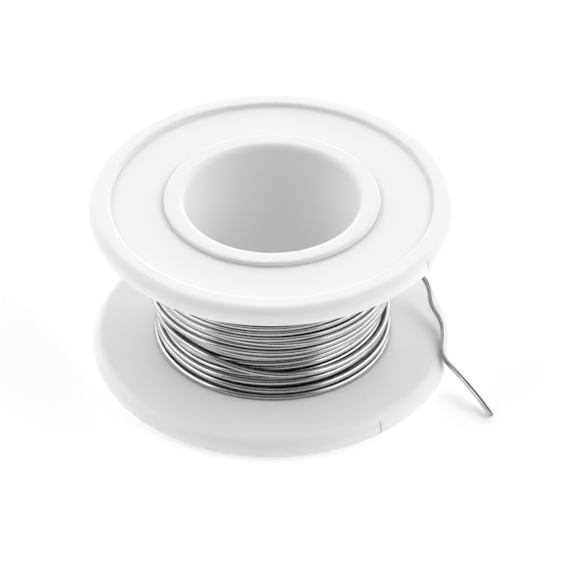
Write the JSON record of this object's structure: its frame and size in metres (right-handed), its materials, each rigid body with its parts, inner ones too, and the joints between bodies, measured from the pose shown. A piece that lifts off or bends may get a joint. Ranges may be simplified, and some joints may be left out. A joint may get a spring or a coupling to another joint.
{
  "type": "solder wire spool",
  "caption": "Small white two-flange plastic spool wound with thin flux-cored solder wire, its free end crossing the lower rim to the surface.",
  "frame": {"origin": "on the spool's axis, on the surface that the lower flange stands on", "axes": "+Z along the spool's axis, towards the upper flange; the wire's free end leaves on the +X side"},
  "size_m": [0.0551, 0.05, 0.0254],
  "materials": {
    "white_plastic": "white moulded polypropylene, satin",
    "solder": "bright drawn tin-lead wire, lightly dulled",
    "rosin": "clear amber rosin"
  },
  "bodies": {
    "spool": {"core_tube": "white_plastic", "lower_flange": "white_plastic", "upper_flange": "white_plastic", "solder_winding": "solder"},
    "wire_end": {"wire_last_turn": "solder", "wire_free_end": "solder", "rosin_core": "rosin"}
  },
  "joints": [
    {"name": "wire_pay_out", "type": "hinge", "parent": "spool", "child": "wire_end", "pos_m": [0, 0, 0.0082], "axis": [0, 0, 1], "continuous": true}
  ]
}
